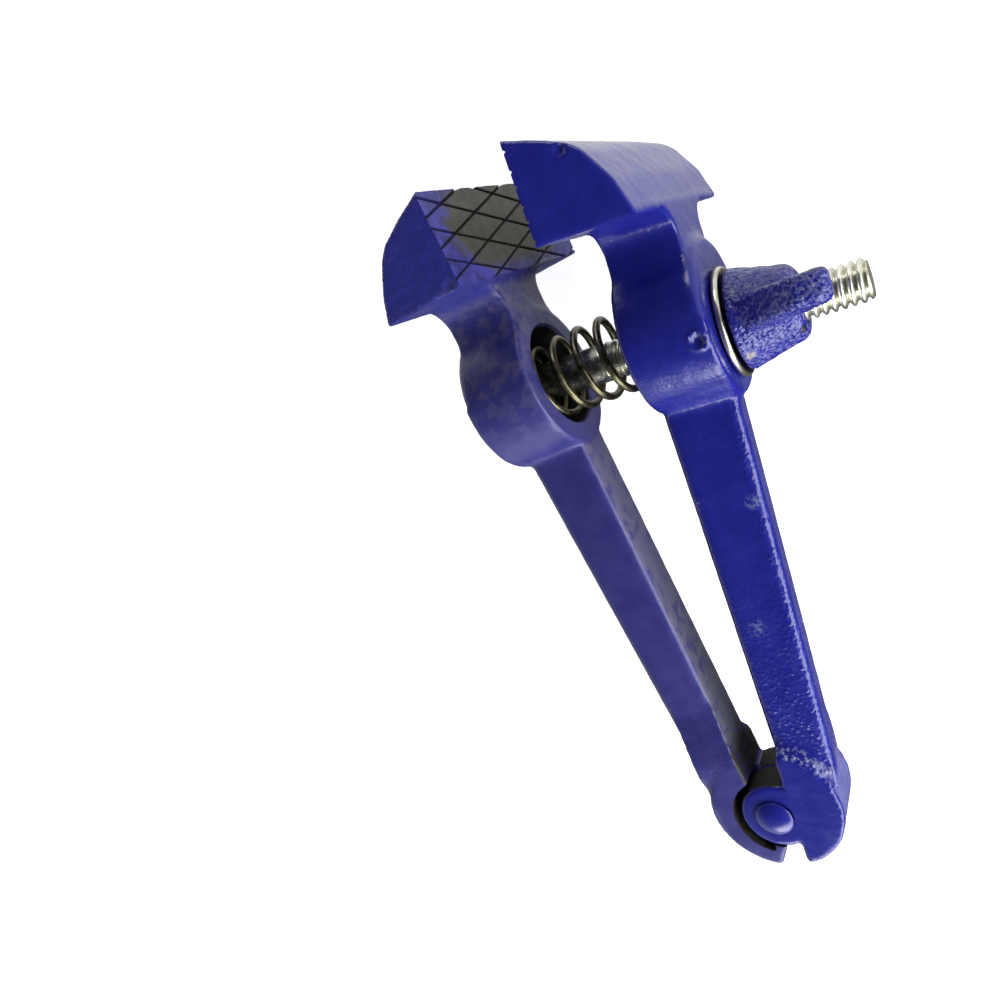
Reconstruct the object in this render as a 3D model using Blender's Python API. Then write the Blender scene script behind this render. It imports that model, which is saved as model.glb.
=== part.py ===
import bpy
import bmesh
from math import acos, asin, atan2, ceil, cos, pi, radians, sin, sqrt, tan
from mathutils import Matrix, Vector

# Hand vise lying on its side, in metres. X runs across the jaws, Y from the hinge to the jaws, Z up.
# Each leg has a frame of its own on the hinge axis: u outward from the closing plane, w along the
# leg, and z along the hinge axis. The moving leg is the fixed leg's casting turned over.

# Pose that the vise is modelled in
rest_opening = radians(7.2)

# Clearances
running_gap = 0.0003
cut_overrun = 0.001

# Jaws
jaw_bottom = 0.1007
jaw_face_height = 0.0144
jaw_depth = 0.0139
jaw_width = 0.0452
jaw_back_bulge = 0.0028
jaw_edge_radius = 0.0005

# Neck between the jaw and the boss
neck_half_width = 0.0070
neck_jaw_fillet = 0.0045
neck_boss_fillet = 0.0050
neck_inner_face = 0.0027
neck_outer_face = 0.0140
neck_edge_radius = 0.0010
neck_overlap = 0.0008

# Boss that the screw passes through
boss_centre = 0.0830
boss_radius = 0.0122
boss_inner_face = 0.0024
boss_outer_face = 0.0152
boss_edge_radius = 0.0007

# Spring pocket in the boss
pocket_radius = 0.0085
pocket_depth = 0.0062
pocket_chamfer = 0.0007

# Bar from the boss down to the hinge
bar_inner_face = 0.0025
bar_outer_at_boss = 0.0135
bar_outer_at_hinge = 0.0103
bar_thickness = 0.0091
bar_edge_radius = 0.0011
bar_top_overlap = 0.0040

# Lap hinge
hinge_radius = 0.0109
hinge_disc_rise = 0.0010
hinge_thickness = 0.0122
knuckle_radius = 0.0060
crescent_gap = 0.0013
hook_tip_inner = 0.0007
hook_tip_slant = 0.0023
hook_tip_closing_angle = radians(22)
hinge_edge_radius = 0.0005
cheek_step = 0.0002

# Hinge rivet
rivet_radius = 0.0025
rivet_head_radius = 0.0032
rivet_head_height = 0.0015

# Clamping screw
screw_radius = 0.0031
screw_tip_chamfer = 0.0007
screw_beyond_boss = 0.0199
screw_head_radius = 0.0065
screw_head_height = 0.0034
screw_head_rim = 0.0008
square_neck_width = 0.0062
square_neck_length = 0.0050
screw_drop_in_moving_leg = 0.0016
slot_side_clearance = 0.0004
slot_end_clearance = 0.0006
slot_corner_radius = 0.0016
square_neck_chamfer = 0.0005

# Travel of the moving leg from the pose above
closing_travel = radians(7.0)
opening_travel = radians(5.4)

# Washer
washer_radius = 0.00835
washer_thickness = 0.0010
washer_edge_radius = 0.0004

# Wing nut
nut_base_radius = 0.00765
nut_shoulder_radius = 0.00584
nut_end_radius = 0.0040
nut_height = 0.0092
nut_shoulder_height = 0.0068
nut_turn_at_rest = radians(11.3)
wing_reach = 0.0132
wing_tip_height = 0.0148
wing_root_height = 0.0003
wing_root_share = 0.8
wing_tip_length = 0.0043
wing_corner_radius = 0.0013
wing_tip_thickness = 0.0039
wing_root_thickness = 0.0048
wing_edge_radius = 0.0010

# Spring
spring_radius = 0.00605
spring_wire_radius = 0.0006
spring_pitch = 0.0040
spring_start_turn = 0.79
spring_drop = 0.0006
spring_end_gap = 0.00048

# Counts
arc_steps = 12
round_steps = 64
hook_steps = 48
bevel_steps = 2
points_per_curl = 9

# Colours, roughness and metal
enamel = (0.030, 0.028, 0.290, 1.0)
zinc = (0.62, 0.61, 0.56, 1.0)
washer_plating = (0.66, 0.65, 0.58, 1.0)
spring_bronze = (0.060, 0.052, 0.036, 1.0)

half_opening = rest_opening / 2
mid_height = jaw_width / 2
half_hinge = hinge_thickness / 2
half_layer_gap = running_gap / 2
spring_seat = boss_centre - spring_drop
screw_height_in_moving_leg = boss_centre - screw_drop_in_moving_leg


def material(name, colour, roughness, metallic):
    made = bpy.data.materials.new(name)
    made.use_nodes = True
    shader = made.node_tree.nodes["Principled BSDF"]
    shader.inputs["Base Color"].default_value = colour
    shader.inputs["Roughness"].default_value = roughness
    shader.inputs["Metallic"].default_value = metallic
    made.diffuse_color = colour
    return made


def empty(name, matrix, parent=None):
    made = bpy.data.objects.new(name, None)
    bpy.context.collection.objects.link(made)
    made.parent = parent
    made.matrix_local = matrix
    return made


def mesh_object(name, bm, parent, finish=None):
    bmesh.ops.recalc_face_normals(bm, faces=bm.faces)
    mesh = bpy.data.meshes.new(name)
    bm.to_mesh(mesh)
    bm.free()
    made = bpy.data.objects.new(name, mesh)
    bpy.context.collection.objects.link(made)
    made.parent = parent
    if finish:
        mesh.materials.append(finish)
        mesh.shade_smooth()
        mesh.set_sharp_from_angle(angle=radians(35))
    return made


def helper(name, bm, parent):
    made = mesh_object(name, bm, parent)
    made.hide_render = True
    made.display_type = "WIRE"
    return made


def combine(target, tool, operation):
    step = target.modifiers.new(tool.name, "BOOLEAN")
    step.operation = operation
    step.solver = "EXACT"
    step.object = tool


# A prism on an outline. The order says which leg axes the outline's two numbers and the length follow.
def prism(outline, low, high, order="uwz"):
    bm = bmesh.new()
    places = ["uwz".index(letter) for letter in order]
    corners = []
    for point in outline:
        where = [0, 0, 0]
        for place, value in zip(places, (point[0], point[1], low)):
            where[place] = value
        corners.append(bm.verts.new(where))
    base = bm.faces.new(corners)
    grown = bmesh.ops.extrude_face_region(bm, geom=[base])
    along = [0, 0, 0]
    along[places[2]] = high - low
    moved = [item for item in grown["geom"] if isinstance(item, bmesh.types.BMVert)]
    bmesh.ops.translate(bm, verts=moved, vec=along)
    bmesh.ops.recalc_face_normals(bm, faces=bm.faces)
    return bm


# A solid through rings of equal length, closed at both ends
def loft(rings):
    bm = bmesh.new()
    made = [[bm.verts.new(corner) for corner in ring] for ring in rings]
    for lower, upper in zip(made, made[1:]):
        for one in range(len(lower)):
            two = (one + 1) % len(lower)
            bm.faces.new((lower[one], lower[two], upper[two], upper[one]))
    bm.faces.new(reversed(made[0]))
    bm.faces.new(made[-1])
    bmesh.ops.recalc_face_normals(bm, faces=bm.faces)
    return bm


# Height and inset of the rings that end a flat layer of the hinge in a rounded edge
def rounded_layer():
    levels = [(half_layer_gap, 0)]
    for step in range(bevel_steps + 1):
        angle = pi / 2 * step / bevel_steps
        levels.append((half_hinge - hinge_edge_radius * (1 - sin(angle)), hinge_edge_radius * (1 - cos(angle))))
    return levels


def soften(bm, width, chosen=None):
    edges = [edge for edge in bm.edges if chosen is None or chosen(edge)]
    bmesh.ops.bevel(bm, geom=edges, offset=width, offset_type="OFFSET", segments=bevel_steps,
                    profile=0.5, affect="EDGES", clamp_overlap=True)


def sharp(edge):
    return len(edge.link_faces) == 2 and edge.calc_face_angle() > radians(30)


def arc(centre, radius, start, end, steps):
    points = []
    for step in range(steps + 1):
        angle = start + (end - start) * step / steps
        points.append((centre[0] + radius * cos(angle), centre[1] + radius * sin(angle)))
    return points


# A closed solid turned about the X axis from points of distance along it and radius.
def turned(profile, steps=round_steps):
    bm = bmesh.new()
    line = [bm.verts.new((along, radius, 0)) for along, radius in profile]
    edges = [bm.edges.new(pair) for pair in zip(line, line[1:])]
    if profile[0][1] > 0:
        edges.append(bm.edges.new((line[-1], line[0])))
    bmesh.ops.spin(bm, geom=line + edges, cent=(0, 0, 0), axis=(1, 0, 0), angle=2 * pi, steps=steps,
                   use_merge=True, use_duplicate=False)
    bmesh.ops.remove_doubles(bm, verts=bm.verts, dist=running_gap / 100)
    bmesh.ops.recalc_face_normals(bm, faces=bm.faces)
    return bm


# The jaw's section: flat gripping face, flat underside, and a back that is one arc between their ends
def jaw_section():
    top = Vector((0, jaw_bottom + jaw_face_height))
    heel = Vector((jaw_depth, jaw_bottom))
    chord = heel - top
    radius = chord.length ** 2 / (8 * jaw_back_bulge) + jaw_back_bulge / 2
    outward = Vector((-chord.y, chord.x)).normalized()
    centre = (top + heel) / 2 - outward * (radius - jaw_back_bulge)
    start = atan2(top.y - centre.y, top.x - centre.x)
    end = atan2(heel.y - centre.y, heel.x - centre.x)
    return [(0, jaw_bottom)] + arc(centre, radius, start, end, arc_steps)


def jaw(name, frame, finish):
    bm = prism(jaw_section(), -jaw_width / 2, jaw_width / 2)
    soften(bm, jaw_edge_radius, sharp)
    return mesh_object(name, bm, frame, finish)


# The neck's outline seen along u, flared to the jaw's underside and faired into the boss
def neck_outline():
    flare = (jaw_bottom - neck_jaw_fillet, neck_half_width + neck_jaw_fillet)
    reach = boss_radius + neck_boss_fillet
    side = neck_half_width + neck_boss_fillet
    fairing = (boss_centre + sqrt(reach ** 2 - side ** 2), side)
    touch = atan2(-side, boss_centre - fairing[0])
    half = [(boss_centre, side - neck_boss_fillet)]
    half += arc(fairing, neck_boss_fillet, touch, -pi / 2, arc_steps)
    half += arc(flare, neck_jaw_fillet, -pi / 2, 0, arc_steps)
    half.append((jaw_bottom + neck_overlap, flare[1]))
    return half + [(w, -z) for w, z in reversed(half)]


def neck(frame):
    bm = prism(neck_outline(), neck_inner_face, neck_outer_face, "wzu")
    soften(bm, neck_edge_radius, lambda edge: abs(edge.verts[0].co.x - edge.verts[1].co.x) < running_gap
           and max(vert.co.y for vert in edge.verts) < jaw_bottom)
    return helper(frame.name + "_neck", bm, frame)


def boss(frame):
    profile = [(boss_inner_face, 0), (boss_inner_face, boss_radius - boss_edge_radius),
               (boss_inner_face + boss_edge_radius, boss_radius),
               (boss_outer_face - boss_edge_radius, boss_radius),
               (boss_outer_face, boss_radius - boss_edge_radius), (boss_outer_face, 0)]
    bm = turned(profile)
    bmesh.ops.translate(bm, verts=bm.verts, vec=(0, boss_centre, 0))
    return helper(frame.name + "_boss", bm, frame)


# The bar is lofted between two sections. Its foot follows the hinge, which is thicker than the bar.
def bar(frame):
    crescent = knuckle_radius + crescent_gap + running_gap
    foot_inner = sqrt(crescent ** 2 - bar_inner_face ** 2)
    foot_outer = hinge_disc_rise + hinge_radius * sin(acos(bar_outer_at_hinge / hinge_radius))
    half = bar_thickness / 2
    top = boss_centre - boss_radius + bar_top_overlap
    rings = []
    for inner, outer, edge in ((foot_inner, foot_outer, bar_outer_at_hinge), (top, top, bar_outer_at_boss)):
        rings.append([(bar_inner_face, inner, -half), (edge, outer, -half), (edge, outer, half),
                      (bar_inner_face, inner, half)])
    bm = loft(rings)
    soften(bm, bar_edge_radius, lambda edge: abs(edge.verts[0].co.y - edge.verts[1].co.y) > bar_thickness)
    return helper(frame.name + "_bar", bm, frame)


# The leg's own layer: half the hinge disc with the round knuckle that the other leg's hook wraps.
# The disc's outline is centred a little above the axis that the knuckle turns on.
def cheek_outline(inset):
    outer = hinge_radius - inset
    inner = knuckle_radius - inset
    face = bar_inner_face + inset
    cut = acos(face / outer)
    turn = acos(face / inner)
    outline = arc((0, hinge_disc_rise), outer, -cut, cut, hook_steps)
    return outline + arc((0, 0), inner, turn, 2 * pi - turn, hook_steps)


def cheek(frame):
    bm = loft([[(u, w, height) for u, w in cheek_outline(inset)] for height, inset in rounded_layer()])
    return helper(frame.name + "_cheek", bm, frame)


# The leg's other layer: a hook round the other leg's knuckle, closing on it at the tip
def hook_outline(inset):
    wide = knuckle_radius + crescent_gap
    narrow = knuckle_radius + running_gap
    outer = hinge_radius - inset
    tip = -pi / 2 + asin((hook_tip_inner + hook_tip_slant) / outer)
    tip_inner = -pi / 2 + asin(hook_tip_inner / narrow)
    closing = tip_inner + hook_tip_closing_angle
    outline = arc((0, hinge_disc_rise), outer, tip, acos(bar_inner_face / outer), hook_steps)
    outline += arc((0, 0), wide, acos(bar_inner_face / wide), closing, arc_steps * 2)
    return outline + arc((0, 0), narrow, closing, tip_inner, arc_steps // 2)


def hook(frame):
    bm = loft([[(u, w, -height) for u, w in hook_outline(inset)] for height, inset in rounded_layer()])
    return helper(frame.name + "_hook", bm, frame)


# The web that joins the two layers, outside the other leg's knuckle
def hinge_web(frame):
    wide = knuckle_radius + crescent_gap
    inside = hinge_radius - cheek_step
    outer_cut = acos(bar_inner_face / inside)
    inner_cut = acos(bar_inner_face / wide)
    outline = arc((0, hinge_disc_rise), inside, -outer_cut, outer_cut, hook_steps)
    outline += arc((0, 0), wide, inner_cut, -inner_cut, arc_steps * 2)
    return helper(frame.name + "_web", prism(outline, -half_hinge / 2, half_hinge / 2), frame)


def pocket(frame):
    mouth = boss_inner_face
    floor = mouth + pocket_depth
    profile = [(mouth - cut_overrun, 0), (mouth - cut_overrun, pocket_radius + pocket_chamfer + cut_overrun),
               (mouth + pocket_chamfer, pocket_radius), (floor, pocket_radius), (floor, 0)]
    bm = turned(profile)
    bmesh.ops.translate(bm, verts=bm.verts, vec=(0, boss_centre, 0))
    return helper(frame.name + "_pocket", bm, frame)


# A rectangle with rounded corners, from its ends along the first axis and half its width
def rounded_slot(low, high, half, corner):
    outline = arc((high - corner, half - corner), corner, pi / 2, 0, bevel_steps * 2)
    outline += arc((high - corner, corner - half), corner, 0, -pi / 2, bevel_steps * 2)
    outline += arc((low + corner, corner - half), corner, -pi / 2, -pi, bevel_steps * 2)
    return outline + arc((low + corner, half - corner), corner, pi, pi / 2, bevel_steps * 2)


# A slot through the boss, long enough for the screw's lean as the vise opens
def screw_slot(frame, low, high):
    half = square_neck_width / 2 + slot_side_clearance
    bm = prism(rounded_slot(low, high, half, slot_corner_radius), boss_inner_face,
               boss_outer_face + cut_overrun, "wzu")
    return helper(frame.name + "_slot", bm, frame)


def rivet_hole(frame):
    bm = bmesh.new()
    radius = rivet_radius + running_gap
    bmesh.ops.create_cone(bm, cap_ends=True, segments=round_steps, radius1=radius, radius2=radius,
                          depth=hinge_thickness + 2 * cut_overrun)
    return helper(frame.name + "_rivet_hole", bm, frame)


def leg(name, frame, finish, slot_low, slot_high):
    casting = jaw(name, frame, finish)
    for piece in (neck(frame), boss(frame), bar(frame), hook(frame), hinge_web(frame), cheek(frame)):
        combine(casting, piece, "UNION")
    for tool in (pocket(frame), screw_slot(frame, slot_low, slot_high), rivet_hole(frame)):
        combine(casting, tool, "DIFFERENCE")
    return casting


# The screw's head rocks on its upper edge against the fixed leg's boss. The pivot is that edge, at
# this distance along the leg, and the screw stays square to the moving leg.
def rocking_edge():
    head_side = boss_outer_face + running_gap
    return (screw_height_in_moving_leg + screw_head_radius + head_side * sin(rest_opening)) / cos(rest_opening)


# Distance along the moving leg at which the screw crosses it, and its crossing of the fixed leg's boss
# at a distance u from the closing plane, both at a given full opening
def crossing_moving(opening):
    head_side = boss_outer_face + running_gap
    return rocking_edge() * cos(opening) - head_side * sin(opening) - screw_head_radius


def crossing_fixed(opening, u):
    head_side = boss_outer_face + running_gap
    start_u = head_side + screw_head_radius * sin(opening)
    start_w = rocking_edge() - screw_head_radius * cos(opening)
    return start_w - (start_u - u) * tan(opening)


# Distance from under the screw's head to the moving leg's outer face
def grip_length(opening):
    head_side = boss_outer_face + running_gap
    return boss_outer_face + head_side * cos(opening) + rocking_edge() * sin(opening)


def rivet(frame, finish):
    seat = half_hinge + running_gap
    rise = rivet_head_height
    dome = (rivet_head_radius ** 2 + rise ** 2) / (2 * rise)
    spread = asin(rivet_head_radius / dome)
    cap = [(seat + rise - dome + dome * cos(spread * step / arc_steps), dome * sin(spread * step / arc_steps))
           for step in range(arc_steps + 1)]
    shank = [(seat, rivet_radius), (-seat, rivet_radius)]
    profile = cap + shank + [(-along, radius) for along, radius in reversed(cap)]
    bm = turned(profile, round_steps // 2)
    bmesh.ops.rotate(bm, verts=bm.verts, cent=(0, 0, 0), matrix=Matrix.Rotation(-pi / 2, 3, "Y"))
    return mesh_object("hinge_rivet", bm, frame, finish)


# The screw lies along X from its head's underside at the origin
def clamping_screw(frame, finish):
    length = grip_length(rest_opening) + screw_beyond_boss
    rise = screw_head_height - screw_head_rim
    dome = (screw_head_radius ** 2 + rise ** 2) / (2 * rise)
    spread = asin(screw_head_radius / dome)
    profile = [(-screw_head_height + dome - dome * cos(spread * step / arc_steps),
                dome * sin(spread * step / arc_steps)) for step in range(arc_steps + 1)]
    profile += [(0, screw_head_radius), (0, screw_radius), (length - screw_tip_chamfer, screw_radius),
                (length, screw_radius - screw_tip_chamfer), (length, 0)]
    screw = mesh_object("clamping_screw", turned(profile), frame, finish)
    half = square_neck_width / 2
    square = rounded_slot(-half, half, half, square_neck_chamfer)
    neck_bm = prism(square, -screw_head_rim / 2, square_neck_length, "wzu")
    combine(screw, helper("square_neck", neck_bm, frame), "UNION")
    return screw


def washer(frame, finish):
    hole = screw_radius + running_gap
    round_edge = washer_edge_radius
    thick = washer_thickness
    profile = [(0, hole), (0, washer_radius - round_edge), (round_edge, washer_radius),
               (thick - round_edge, washer_radius), (thick, washer_radius - round_edge), (thick, hole)]
    return mesh_object("washer", turned(profile), frame, finish)


# One wing's outline as distance from the screw's axis and height above the nut's base
def wing_outline():
    corner = wing_corner_radius
    out = wing_reach - corner
    outline = [(nut_base_radius * wing_root_share, wing_root_height)]
    outline += arc((out, wing_tip_height - wing_tip_length + corner), corner, -pi / 6, 0, arc_steps // 2)
    outline += arc((out, wing_tip_height - corner), corner, 0, 3 * pi / 4, arc_steps)
    return outline + [(nut_end_radius, nut_shoulder_height)]


def wing(frame, side):
    half = wing_root_thickness / 2
    bm = prism([(height, side * out) for out, height in wing_outline()], -half, half, "uzw")
    for vert in bm.verts:
        out = (abs(vert.co.z) - nut_end_radius) / (wing_reach - nut_end_radius)
        slim = wing_root_thickness + (wing_tip_thickness - wing_root_thickness) * max(out, 0)
        vert.co.y *= slim / wing_root_thickness
    soften(bm, wing_edge_radius, lambda edge: abs(edge.verts[0].co.y - edge.verts[1].co.y)
           < wing_edge_radius and sharp(edge))
    return helper("wing_up" if side > 0 else "wing_down", bm, frame)


def wing_nut(frame, finish):
    hole = screw_radius + running_gap
    profile = [(0, hole), (0, nut_base_radius)]
    for step in range(arc_steps // 2 + 1):
        angle = pi * step / arc_steps
        profile.append((nut_shoulder_height + (nut_height - nut_shoulder_height) * sin(angle),
                        nut_end_radius + (nut_shoulder_radius - nut_end_radius) * cos(angle)))
    nut = mesh_object("wing_nut", turned(profile + [(nut_height, hole)]), frame, finish)
    for side in (1, -1):
        combine(nut, wing(frame, side), "UNION")
    return nut


# The spring's axis is a gentle arc that meets both pocket floors squarely. Its ends are closed turns.
def spring_points():
    floor = boss_inner_face + pocket_depth - running_gap - spring_wire_radius
    end = Vector((floor * cos(half_opening) + spring_seat * sin(half_opening),
                  spring_seat * cos(half_opening) - floor * sin(half_opening)))
    bend = end.x / sin(half_opening)
    length = 2 * half_opening * bend
    end_pitch = 2 * spring_wire_radius + spring_end_gap
    active = (length - 2 * end_pitch) / spring_pitch
    curls = active + 2
    count = ceil(curls * points_per_curl)
    points = []
    for step in range(count + 1):
        curl = curls * step / count
        along = end_pitch * min(curl, 1) + spring_pitch * min(max(curl - 1, 0), active)
        along += end_pitch * max(curl - 1 - active, 0)
        bearing = half_opening - along / bend
        turn = 2 * pi * (curl + spring_start_turn)
        out = bend + spring_radius * cos(turn)
        height = end.y - bend * cos(half_opening)
        points.append(Vector((-out * sin(bearing), height + out * cos(bearing),
                              mid_height + spring_radius * sin(turn))))
    return points


def report_least_gap(points):
    near = points_per_curl // 2
    least = min((one - two).length for index, one in enumerate(points)
                for two in points[index + near + 1:])
    print("spring's least gap to itself, mm:", round((least - 2 * spring_wire_radius) * 1000, 3))


def spring(frame, finish):
    points = spring_points()
    report_least_gap(points)
    curve = bpy.data.curves.new("spring", "CURVE")
    curve.dimensions = "3D"
    curve.bevel_depth = spring_wire_radius
    curve.bevel_resolution = 1
    curve.use_fill_caps = True
    curve.materials.append(finish)
    line = curve.splines.new("POLY")
    line.points.add(len(points) - 1)
    for point, place in zip(line.points, points):
        point.co = (*place, 1)
    made = bpy.data.objects.new("spring", curve)
    bpy.context.collection.objects.link(made)
    made.parent = frame
    return made


# The origin comes to stand under the middle of the whole vise's box
def centre_on_footprint(root):
    bpy.context.view_layer.update()
    graph = bpy.context.evaluated_depsgraph_get()
    corners = []
    for item in bpy.context.scene.objects:
        if item.type in {"MESH", "CURVE"} and not item.hide_render:
            shown = item.evaluated_get(graph)
            mesh = shown.to_mesh()
            corners += [item.matrix_world @ vert.co for vert in mesh.vertices]
            shown.to_mesh_clear()
    low = Vector([min(corner[axis] for corner in corners) for axis in range(3)])
    high = Vector([max(corner[axis] for corner in corners) for axis in range(3)])
    root.location -= Vector(((low.x + high.x) / 2, (low.y + high.y) / 2, low.z))
    bpy.context.view_layer.update()
    print("size, mm:", [round(1000 * value, 2) for value in high - low])


def main():
    for item in list(bpy.data.objects):
        bpy.data.objects.remove(item)
    paint = material("blue_enamel", enamel, 0.32, 0.0)
    rivet_paint = material("rivet_enamel", enamel, 0.32, 0.0)
    screw_zinc = material("screw_zinc", zinc, 0.3, 1.0)
    washer_zinc = material("washer_zinc", washer_plating, 0.22, 1.0)
    nut_paint = material("nut_enamel", enamel, 0.38, 0.0)
    bronze = material("spring_steel", spring_bronze, 0.35, 0.8)

    vise = empty("vise", Matrix())
    hinge = empty("hinge_axis", Matrix.Translation((0, 0, mid_height)), vise)
    fixed = empty("fixed_frame", Matrix.Rotation(half_opening, 4, "Z") @ Matrix.Rotation(pi, 4, "Y"), hinge)
    moving = empty("moving_frame", Matrix.Rotation(-half_opening, 4, "Z"), hinge)

    reach = screw_radius + slot_end_clearance
    widest = rest_opening + opening_travel
    closed = rest_opening - closing_travel
    neck_end = boss_outer_face + running_gap - square_neck_length
    fixed_low = crossing_fixed(widest, boss_inner_face + pocket_depth) - reach
    fixed_high = max(crossing_fixed(closed, neck_end), crossing_fixed(widest, boss_outer_face)) + reach
    moving_low = crossing_moving(widest) - reach
    moving_high = crossing_moving(closed) + reach
    leg("fixed_leg", fixed, paint, fixed_low, fixed_high)
    leg("moving_leg", moving, paint, moving_low, moving_high)
    rivet(hinge, rivet_paint)

    along = Matrix.Translation((boss_outer_face, crossing_moving(rest_opening), 0))
    back = Matrix.Translation((-grip_length(rest_opening), 0, 0))
    screw = empty("screw_frame", Matrix.Rotation(-half_opening, 4, "Z") @ along @ back, hinge)
    seat = empty("washer_frame", Matrix.Translation((grip_length(rest_opening) + running_gap, 0, 0)), screw)
    above = Matrix.Translation((washer_thickness + running_gap, 0, 0))
    nut = empty("nut_frame", above @ Matrix.Rotation(-nut_turn_at_rest, 4, "X"), seat)
    clamping_screw(screw, screw_zinc)
    washer(seat, washer_zinc)
    wing_nut(nut, nut_paint)
    spring(vise, bronze)
    centre_on_footprint(vise)

    axis = hinge.matrix_world.translation
    head = boss_outer_face + running_gap
    pivot = fixed.matrix_world @ Vector((head, rocking_edge(), 0))
    print("hinge axis at", [round(value, 6) for value in axis])
    print("screw head rocks at", [round(value, 6) for value in pivot])
    print("screw axis from", [round(value, 6) for value in screw.matrix_world.translation], "along",
          [round(value, 6) for value in (screw.matrix_world.to_3x3() @ Vector((1, 0, 0)))])
    travel_per_radian = rocking_edge() * cos(rest_opening) - head * sin(rest_opening)
    print("nut travel per radian of the leg, m:", round(travel_per_radian, 6))


main()
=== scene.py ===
from math import atan2, cos, pi, radians, sin, tan

import bmesh
import bpy
from mathutils import Matrix, Vector, noise


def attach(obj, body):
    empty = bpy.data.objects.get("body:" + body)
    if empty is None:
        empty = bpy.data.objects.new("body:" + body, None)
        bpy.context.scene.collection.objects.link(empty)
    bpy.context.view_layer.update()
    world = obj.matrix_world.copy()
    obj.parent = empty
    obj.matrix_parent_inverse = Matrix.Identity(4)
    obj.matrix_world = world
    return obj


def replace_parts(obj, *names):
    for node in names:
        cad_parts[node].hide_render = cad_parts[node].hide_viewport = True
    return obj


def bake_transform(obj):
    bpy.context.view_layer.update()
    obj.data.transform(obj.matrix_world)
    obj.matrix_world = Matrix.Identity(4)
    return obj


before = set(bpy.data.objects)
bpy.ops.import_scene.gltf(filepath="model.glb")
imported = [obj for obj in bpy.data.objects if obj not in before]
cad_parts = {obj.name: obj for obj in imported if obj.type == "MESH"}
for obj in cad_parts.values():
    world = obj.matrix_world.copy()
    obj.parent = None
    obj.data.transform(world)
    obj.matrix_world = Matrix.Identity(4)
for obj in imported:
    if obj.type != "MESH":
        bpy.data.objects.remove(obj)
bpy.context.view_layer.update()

# Hand vise lying on the ends of its jaws. Each leg has axes of its own on the hinge: u outward from
# the closing plane, w along the leg, z along the hinge. All lengths are in metres.
vise = {"hinge": (-0.007659, -0.052473, 0.0226), "halfOpening": radians(3.6), "gap": 0.0003}

movingFrame = Matrix.Translation(vise["hinge"]) @ Matrix.Rotation(-vise["halfOpening"], 4, "Z")
fixedFrame = (Matrix.Translation(vise["hinge"]) @ Matrix.Rotation(vise["halfOpening"], 4, "Z")
              @ Matrix.Rotation(pi, 4, "Y"))
# Turns the x, y, z of a sketch to w, z, u
lengthwise = Matrix(((0, 0, 1, 0), (1, 0, 0, 0), (0, 1, 0, 0), (0, 0, 0, 1)))


# Shop helpers for sketches, solids and cuts

def roundedFace(bm, corners, rounds, steps=6):
    # A flat sketch with a rounding of its own at each corner
    verts = [bm.verts.new((x, y, 0)) for x, y in corners]
    bm.faces.new(verts)
    for index, (vert, radius) in enumerate(zip(verts, rounds)):
        if not radius:
            continue
        here = Vector(corners[index])
        before = (Vector(corners[index - 1]) - here).normalized()
        after = (Vector(corners[(index + 1) % len(corners)]) - here).normalized()
        reach = radius / tan(before.angle(after) / 2)
        bmesh.ops.bevel(bm, geom=[vert], offset=reach, offset_type="OFFSET", segments=steps, profile=0.5,
                        affect="VERTICES", material=-1)


def pushedUp(bm, low, high):
    # Turns the sketch into a block between two heights
    bmesh.ops.translate(bm, verts=bm.verts, vec=(0, 0, low))
    grown = bmesh.ops.extrude_face_region(bm, geom=bm.faces[:])
    raised = [item for item in grown["geom"] if isinstance(item, bmesh.types.BMVert)]
    bmesh.ops.translate(bm, verts=raised, vec=(0, 0, high - low))
    bmesh.ops.recalc_face_normals(bm, faces=bm.faces)


def block(corners, rounds, low, high, steps=6):
    bm = bmesh.new()
    roundedFace(bm, corners, rounds, steps)
    pushedUp(bm, low, high)
    return bm


def cylinder(radius, low, high, segments=72):
    bm = bmesh.new()
    bmesh.ops.create_circle(bm, cap_ends=True, segments=segments, radius=radius)
    pushedUp(bm, low, high)
    return bm


def turned(profile, steps):
    # A lathe piece about X from pairs of distance along it and radius
    bm = bmesh.new()
    line = [bm.verts.new((along, radius, 0)) for along, radius in profile]
    edges = [bm.edges.new(pair) for pair in zip(line, line[1:])]
    if profile[0][1] > 0:
        edges.append(bm.edges.new((line[-1], line[0])))
    bmesh.ops.spin(bm, geom=line + edges, cent=(0, 0, 0), axis=(1, 0, 0), angle=2 * pi, steps=steps,
                   use_merge=True)
    bmesh.ops.remove_doubles(bm, verts=bm.verts, dist=1e-6)
    bmesh.ops.recalc_face_normals(bm, faces=bm.faces)
    return bm


def softened(bm, width, steps, chosen):
    edges = [edge for edge in bm.edges if chosen(edge)]
    bmesh.ops.bevel(bm, geom=edges, offset=width, offset_type="OFFSET", segments=steps, profile=0.5,
                    affect="EDGES", clamp_overlap=True, material=-1)
    return bm


def isSharp(edge):
    return len(edge.link_faces) == 2 and edge.calc_face_angle() > radians(30)


def spanOf(edge):
    return edge.verts[1].co - edge.verts[0].co


def trimmed(bm, point, outward):
    # Saws off what lies past the plane and closes the cut
    cut = bmesh.ops.bisect_plane(bm, geom=bm.verts[:] + bm.edges[:] + bm.faces[:], dist=1e-7, plane_co=point,
                                 plane_no=outward, clear_outer=True)
    rim = [item for item in cut["geom_cut"] if isinstance(item, bmesh.types.BMEdge)]
    bmesh.ops.edgeloop_fill(bm, edges=rim)
    bmesh.ops.recalc_face_normals(bm, faces=bm.faces)


def relaxed(bm, verts):
    bmesh.ops.smooth_vert(bm, verts=verts, factor=0.5, use_axis_x=True, use_axis_y=True, use_axis_z=True)
    bm.normal_update()


def placed(bm, matrix):
    bmesh.ops.transform(bm, matrix=matrix, verts=bm.verts)
    return bm


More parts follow.
